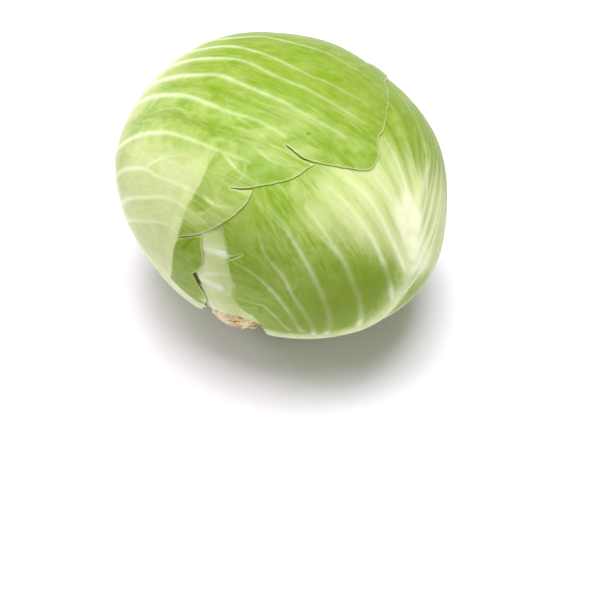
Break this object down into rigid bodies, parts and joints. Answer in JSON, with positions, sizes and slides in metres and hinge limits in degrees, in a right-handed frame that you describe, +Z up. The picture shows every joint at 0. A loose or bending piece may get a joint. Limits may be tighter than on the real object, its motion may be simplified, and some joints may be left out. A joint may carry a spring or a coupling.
{
  "type": "green cabbage",
  "caption": "Whole green cabbage head lying on its side, its torn wrapper leaves folded over the apex and a short cut stem low at the front.",
  "frame": {"origin": "on the surface that the head lies on, under the middle of the space it takes up", "axes": "+Z up; the line from the cut stem to the apex runs towards +Y and rises from the surface"},
  "size_m": [0.1806, 0.1701, 0.1704],
  "materials": {
    "stem": "rough, dry cut",
    "heart": "smooth, waxy",
    "outer_leaf": "waxy, soft gloss",
    "inner_leaf": "waxy, soft gloss"
  },
  "bodies": {
    "root": {"stem": "stem", "heart": "heart", "leaf_1": "outer_leaf", "leaf_2": "outer_leaf", "leaf_3": "inner_leaf", "leaf_4": "inner_leaf"}
  },
  "joints": []
}
